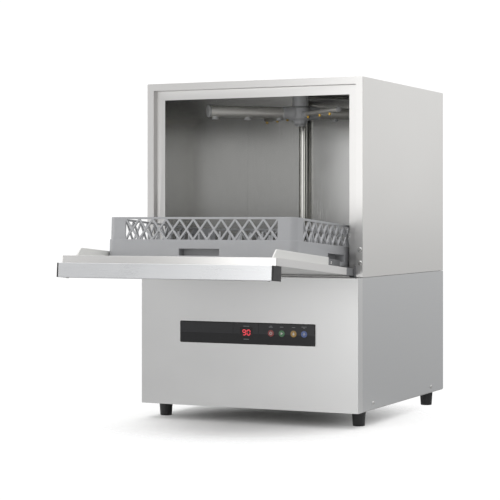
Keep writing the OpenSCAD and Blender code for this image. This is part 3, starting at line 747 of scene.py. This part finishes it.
@dataclass
class PlateRack(SubAssembly):
    """Square rack with lattice windows and rows of pegs."""

    body: str = "rack"
    side_mm: float = 491.0
    rows: int = 8
    pitch_mm: float = 55.0
    floor_mm: float = 8.0
    peg_mm: float = 62.0
    peg_half_mm: tuple[float, float] = (3.2, 2.0)
    strip_mm: float = 3.0
    taper: tuple[float, float, float] = (0.56, 0.6, 1.0)

    def build(self) -> None:
        """Makes the rack."""
        self.refine("rack_frame", RACK_PP, 0.5)
        self.refine("rack_floor", RACK_PP, 0.5)
        self.pegs()
        self.report()

    def place(self) -> Matrix:
        """Transform from the level rack, with its middle at the origin, to the row frame."""
        ratio = next(c["ratio"] for c in frame["record"]["behaviour"]["couplings"]
                     if c["joint"] == "rack_lift_level")
        tilt = math.radians(-ratio * JOINTS["door_hinge"]["range_deg"][1] - 180.0)
        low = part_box("rack_frame")[0]
        side = self.side_mm * MM
        front = Vector((0, low.y, low.z + side * math.sin(tilt)))
        return (Matrix.Translation(front) @ Matrix.Rotation(-tilt, 4, "X")
                @ Matrix.Translation((0, side / 2, 0)))

    def pegs(self) -> None:
        """Makes the rows of tapered pegs on their strips."""
        place = self.place()
        half = (self.rows - 1) / 2
        spots = [(i - half) * self.pitch_mm * MM for i in range(self.rows)]
        foot, tip = self.floor_mm * MM, (self.floor_mm + self.peg_mm) * MM
        wide, deep, strip = (v * MM for v in (*self.peg_half_mm, self.strip_mm))
        bm = bmesh.new()
        for y in spots:
            slab(bm, (spots[0] - strip, y - deep, foot),
                 (spots[-1] + strip, y + deep, foot + strip), place)
            for x in spots:
                peg = slab(bm, (x - wide, y - deep, foot), (x + wide, y + deep, tip), place)
                top = sorted(peg, key=lambda v: v.co.z)[-4:]
                middle = sum((v.co for v in top), Vector()) / 4
                bmesh.ops.scale(bm, vec=self.taper, verts=top,
                                space=Matrix.Translation(-middle))
        bevel_all(bm, 0.7)
        self.piece("rack_tapered_pegs", bm, RACK_PP, "rack_plastic", ["rack_pegs"])


@dataclass
class ControlPanel(SubAssembly):
    """Fascia, display and what is printed on them."""

    body: str = "cabinet"
    fascia_mm: tuple[float, float] = (368.0, 54.0)
    dividers_mm: tuple[float, float] = (-36.0, 33.5)
    border_mm: float = 2.6
    split_mm: float = -1.0
    thick_mm: float = 2.0
    window_mm: tuple[float, float] = (17.4, 14.4)
    divider_half_mm: float = 0.8
    field_ink_mm: float = 0.06
    mark_ink_mm: float = 0.1
    digit_x_mm: float = 5.8
    segment_mm: tuple[float, float, float] = (3.9, 6.2, 0.85)
    segment_gap_mm: float = 0.45
    segment_ink_mm: float = 0.12

    def build(self) -> None:
        """Makes the control panel."""
        self.refine("control_fascia", FASCIA_ACRYLIC, 0.4)
        self.refine("display", SMOKED_WINDOW, 0.3)
        self.refine("control_board", SOLDER_MASK, 0.3)
        self.digits()
        self.printing()
        self.surround()
        self.report()

    def face(self, node: str, x_mm: float, z_mm: float, proud_mm: float = 0.0) -> Matrix:
        """Transform that lays a tile on the front of a node.

        Args:
            node: CAD node whose front face carries the tile.
            x_mm: Offset from the node's middle along X.
            z_mm: Offset from the node's middle along Z.
            proud_mm: Distance in front of the face.

        Returns:
            The transform.
        """
        low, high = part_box(node)
        at = Vector(((low.x + high.x) / 2 + x_mm * MM, low.y - proud_mm * MM,
                     (low.z + high.z) / 2 + z_mm * MM))
        return Matrix.Translation(at) @ Matrix.Rotation(math.pi / 2, 4, "X")

    def digits(self) -> None:
        """Makes the lit and the dark segments of the two digits."""
        lit, dim = bmesh.new(), bmesh.new()
        w, h, bar = self.segment_mm
        spots = {"top": (0, h, 0), "middle": (0, 0, 0), "bottom": (0, -h, 0),
                 "high_left": (-w, h / 2, 90), "high_right": (w, h / 2, 90),
                 "low_left": (-w, -h / 2, 90), "low_right": (w, -h / 2, 90)}
        for x, off in ((-self.digit_x_mm, {"low_left"}), (self.digit_x_mm, {"middle"})):
            for name, (sx, sz, turn) in spots.items():
                reach = (w if turn == 0 else h / 2) - self.segment_gap_mm
                outline = [(-reach, 0), (-reach + bar, bar), (reach - bar, bar), (reach, 0),
                           (reach - bar, -bar), (-reach + bar, -bar)]
                tile(dim if name in off else lit, outline, self.segment_ink_mm,
                     self.face("display", x + sx, sz) @ Matrix.Rotation(math.radians(turn), 4, "Z"))
        self.piece("display_lit_segments", lit, LIT_SEGMENT, "display_window")
        self.piece("display_dark_segments", dim, DIM_SEGMENT, "display_window")

    def printing(self) -> None:
        """Makes the lighter printed fields and the short marks around the display and keys."""
        fields, marks = bmesh.new(), bmesh.new()
        right, top = (side / 2 - self.border_mm for side in self.fascia_mm)
        (first, second), (pane_w, pane_z), low = self.dividers_mm, self.window_mm, self.split_mm
        gap = self.divider_half_mm
        for x0, x1, z0 in ((-right, first - gap, low), (first + gap, -pane_w, low),
                           (-pane_w, pane_w, pane_z), (pane_w, second - gap, low),
                           (second + gap, right, low)):
            tile(fields, box_outline((x1 - x0) / 2, (top - z0) / 2), self.field_ink_mm,
                 self.face("control_fascia", (x0 + x1) / 2, (z0 + top) / 2))
        for x, z, reach in ((0, 17.5, 8.0), (0, -14.5, 7.5), (66.5, 17.0, 5.5), (66.5, 19.6, 2.5),
                            (95.5, 17.8, 4.5), (127, 17.8, 4.5), (155, 19.6, 6.5),
                            (155, 17.0, 2.5)):
            tile(marks, box_outline(reach, 0.6), self.mark_ink_mm,
                 self.face("control_fascia", x, z))
        self.piece("fascia_fields", fields, PRINT_CHARCOAL, "fascia_gloss")
        self.piece("fascia_marks", marks, PRINT_GREY, "fascia_gloss")

    def surround(self) -> None:
        """Makes the thin bright edge of the window that the fascia sits in."""
        half_w, half_h = self.fascia_mm[0] / 2, self.fascia_mm[1] / 2
        bm = bmesh.new()
        for side in (-1, 1):
            for outline, x, z in ((box_outline(half_w + 1.3, 0.6), 0, side * (half_h + 0.7)),
                                  (box_outline(0.6, half_h + 0.1), side * (half_w + 0.7), 0)):
                tile(bm, outline, 0.5, self.face("control_fascia", x, z, -self.thick_mm))
        self.piece("fascia_surround", bm, FRAME_STEEL, "stainless_panel")


def box_outline(half_w: float, half_h: float) -> list[tuple[float, float]]:
    """Corners of a centred rectangle, in millimetres."""
    return [(-half_w, -half_h), (half_w, -half_h), (half_w, half_h), (-half_w, half_h)]


class KeyMark(Enum):
    """Plain mark printed on a key."""

    RING = "ring"
    ARROW = "arrow"
    DROP = "drop"
    DOWN = "down"

    def outlines(self) -> list[list[tuple[float, float]]]:
        """Outlines of the mark's tiles, in millimetres."""
        if self is KeyMark.RING:
            arc = [(math.sin(math.radians(a)), math.cos(math.radians(a)))
                   for a in range(40, 321, 20)]
            links = zip(arc, arc[1:])
            ring = [[(2.5 * x0, 2.5 * y0), (3.6 * x0, 3.6 * y0), (3.6 * x1, 3.6 * y1),
                     (2.5 * x1, 2.5 * y1)] for (x0, y0), (x1, y1) in links]
            return [*ring, [(-0.5, 0.6), (0.5, 0.6), (0.5, 4.2), (-0.5, 4.2)]]
        if self is KeyMark.ARROW:
            return [[(-2.2, -3.2), (3.6, 0), (-2.2, 3.2)]]
        if self is KeyMark.DROP:
            round_part = [(2.6 * math.sin(math.radians(a)), -1 + 2.6 * math.cos(math.radians(a)))
                          for a in range(60, 301, 20)]
            return [[*round_part, (0, 4.2)]]
        return [[(-3.2, 0.2), (0, -3.8), (3.2, 0.2)], box_outline(0.9, 3.6)]


@dataclass
class Key(ControlPanel):
    """One round key with its printed mark."""

    colour: str = "B02A22"
    mark: KeyMark = KeyMark.RING
    key_ink_mm: float = 0.08

    def build(self) -> None:
        """Makes the key."""
        self.refine(self.body, key_finish(self.body, self.colour), 0.5, 3)
        bm = bmesh.new()
        for outline in self.mark.outlines():
            tile(bm, outline, self.key_ink_mm, self.face(self.body, 0, 0))
        self.piece(f"{self.body}_mark", bm, PRINT_WHITE, SLOT_OF[self.body])
        self.report()


@dataclass
class Foot(SubAssembly):
    """One screw-in foot."""

    def build(self) -> None:
        """Makes the foot."""
        self.refine(self.body, FOOT_RUBBERED, 0.8, 3)
        self.report()


@dataclass
class Machinery(SubAssembly):
    """Pumps and boiler inside the base."""

    body: str = "cabinet"

    def build(self) -> None:
        """Makes the machinery."""
        self.refine("wash_pump", MOTOR_PAINT, 1.5, 3)
        self.refine("drain_pump", MOTOR_PAINT, 1.5, 3)
        self.refine("boiler", BOILER_STEEL, 1.0)
        self.report()


@dataclass
class SingleNode(SubAssembly):
    """A body that is one plain turned or moulded part."""

    node: str = ""
    finish: Finish = SCREW_STEEL
    edge_mm: float = 0.5

    def build(self) -> None:
        """Makes the part."""
        self.refine(self.node, self.finish, self.edge_mm)
        self.report()


# ---------------------------------------------------------------- studio


@dataclass(frozen=True)
class Softbox:
    """A large soft light."""

    name: str
    at: tuple[float, float, float]
    aim: tuple[float, float, float]
    size: tuple[float, float]
    watts: float

    def build(self) -> None:
        """Makes the light."""
        lamp = bpy.data.lights.new(self.name, "AREA")
        lamp.shape = "RECTANGLE"
        lamp.size, lamp.size_y = self.size
        lamp.energy = self.watts
        obj = bpy.data.objects.new(self.name, lamp)
        obj.location = self.at
        way = Vector(self.aim) - Vector(self.at)
        obj.rotation_euler = way.to_track_quat("-Z", "Y").to_euler()
        obj.visible_camera = False
        bpy.context.scene.collection.objects.link(obj)


@dataclass
class Studio:
    """Pale floor, soft light and camera."""

    floor_half: float = 1.6
    front_way: tuple[float, float, float] = (-0.41, -0.91, 0.0)
    front_level: float = 0.70
    front_span: tuple[float, float] = (-0.4, 0.5)
    rise_span: tuple[float, float] = (-0.30, 0.14)
    rise_levels: tuple[float, float] = (0.40, 0.96)
    wall_level: float = 1.05
    eye: tuple[float, float, float] = (1.7446, -3.8283, 0.510)
    heading_deg: float = 25.0
    lens_mm: float = 119.88
    sensor_mm: float = 36.0
    shift_y: float = -0.066

    def build(self) -> None:
        """Makes the studio."""
        self.floor()
        self.world()
        self.camera()
        for light in (
                Softbox("front_light", (-0.7, -4.0, 0.8), (0.0, 0.0, 0.4), (1.0, 2.4), 14.0),
                Softbox("rear_side_light", (1.9, 3.6, 1.3), (0.3, 0.1, 0.7), (2.4, 1.6), 2.5),
                Softbox("left_light", (-3.5, -1.9, 1.2), (0.0, 0.1, 0.6), (2.0, 2.0), 34.0),
                Softbox("top_light", (0.0, 0.2, 3.4), (0.0, 0.0, 0.5), (5.0, 5.0), 125.0)):
            light.build()

    def floor(self) -> None:
        """Adds the floor, which isn't part of the object."""
        bm = bmesh.new()
        bmesh.ops.create_grid(bm, x_segments=1, y_segments=1, size=self.floor_half)
        mesh = bpy.data.meshes.new("studio_floor")
        bm.to_mesh(mesh)
        bm.free()
        mesh.materials.append(SeamlessPaint("matt_floor_paint", "F6F6F5", 0.8, tint=0.005,
                                            mottle_mm=900.0, grain_mm=5.0).material())
        obj = bpy.data.objects.new("studio_floor", mesh)
        bpy.context.scene.collection.objects.link(obj)

    def world(self) -> None:
        """Lights the room: dimmer below and in front, and white where the camera looks."""
        world = bpy.data.worlds.new("studio_air")
        world.use_nodes = True
        tree = world.node_tree
        tree.nodes.clear()
        way = add_node(tree, "ShaderNodeTexCoord").outputs["Generated"]
        height = add_node(tree, "ShaderNodeSeparateXYZ", {0: way}).outputs[2]
        rise = add_node(tree, "ShaderNodeMapRange", {
            "Value": height, "From Min": self.rise_span[0], "From Max": self.rise_span[1],
            "To Min": self.rise_levels[0], "To Max": self.rise_levels[1]},
            interpolation_type="SMOOTHSTEP").outputs[0]
        ahead = add_node(tree, "ShaderNodeVectorMath", {0: way, 1: self.front_way},
                         operation="DOT_PRODUCT").outputs["Value"]
        share = add_node(tree, "ShaderNodeMapRange", {
            "Value": ahead, "From Min": self.front_span[0], "From Max": self.front_span[1],
            "To Min": 0.0, "To Max": 1.0},
            interpolation_type="SMOOTHSTEP").outputs[0]
        strength = add_node(tree, "ShaderNodeMix", {0: share, 2: rise, 3: self.front_level},
                            data_type="FLOAT").outputs[0]
        room = add_node(tree, "ShaderNodeBackground", {
            "Color": linear("FAFAFB"), "Strength": strength})
        wall = add_node(tree, "ShaderNodeBackground", {
            "Color": linear("FFFFFF"), "Strength": self.wall_level})
        seen = add_node(tree, "ShaderNodeLightPath").outputs["Is Camera Ray"]
        air = add_node(tree, "ShaderNodeMixShader", {
            0: seen, 1: room.outputs[0], 2: wall.outputs[0]})
        add_node(tree, "ShaderNodeOutputWorld", {"Surface": air.outputs[0]})
        bpy.context.scene.world = world
        bpy.context.scene.view_settings.view_transform = "Standard"

    def camera(self) -> None:
        """Adds the camera and makes it the scene's own."""
        lens = bpy.data.cameras.new("studio_camera")
        lens.lens = self.lens_mm
        lens.sensor_width = self.sensor_mm
        lens.shift_y = self.shift_y
        obj = bpy.data.objects.new("studio_camera", lens)
        obj.location = self.eye
        obj.rotation_euler = (math.pi / 2, 0.0, math.radians(self.heading_deg))
        bpy.context.scene.collection.objects.link(obj)
        bpy.context.scene.camera = obj


def main() -> None:
    """Builds every group of pieces in order."""
    logging.basicConfig(level=logging.INFO, format="%(name)s %(message)s")
    Studio().build()
    groups: list[SubAssembly] = [
        Cabinet(), Chamber(),
        SprayRotor("upper_rotor", prefix="upper"),
        SprayRotor("lower_rotor", prefix="lower", turn_deg=18.0, tube_r_mm=12.0,
                   rinse_lift_mm=2.0, up=True),
        Door(), PlateRack(), ControlPanel(),
        Key("key_power", colour="7A2E2C", mark=KeyMark.RING),
        Key("key_cycle", colour="35643F", mark=KeyMark.ARROW),
        Key("key_rinse", colour="92702C", mark=KeyMark.DROP),
        Key("key_drain", colour="42568A", mark=KeyMark.DOWN),
        Foot("foot_front_left"), Foot("foot_front_right"),
        Foot("foot_rear_left"), Foot("foot_rear_right"),
        Machinery(),
        SingleNode("hinge_shaft", node="hinge_pins", finish=SCREW_STEEL, edge_mm=0.4),
        SingleNode("overflow", node="standpipe", finish=NOZZLE_PP, edge_mm=0.8),
        SingleNode("pump_rotor", node="pump_impeller", finish=SCREW_STEEL, edge_mm=0.4),
    ]
    for group in groups:
        group.build()


if __name__ == "__main__":
    main()
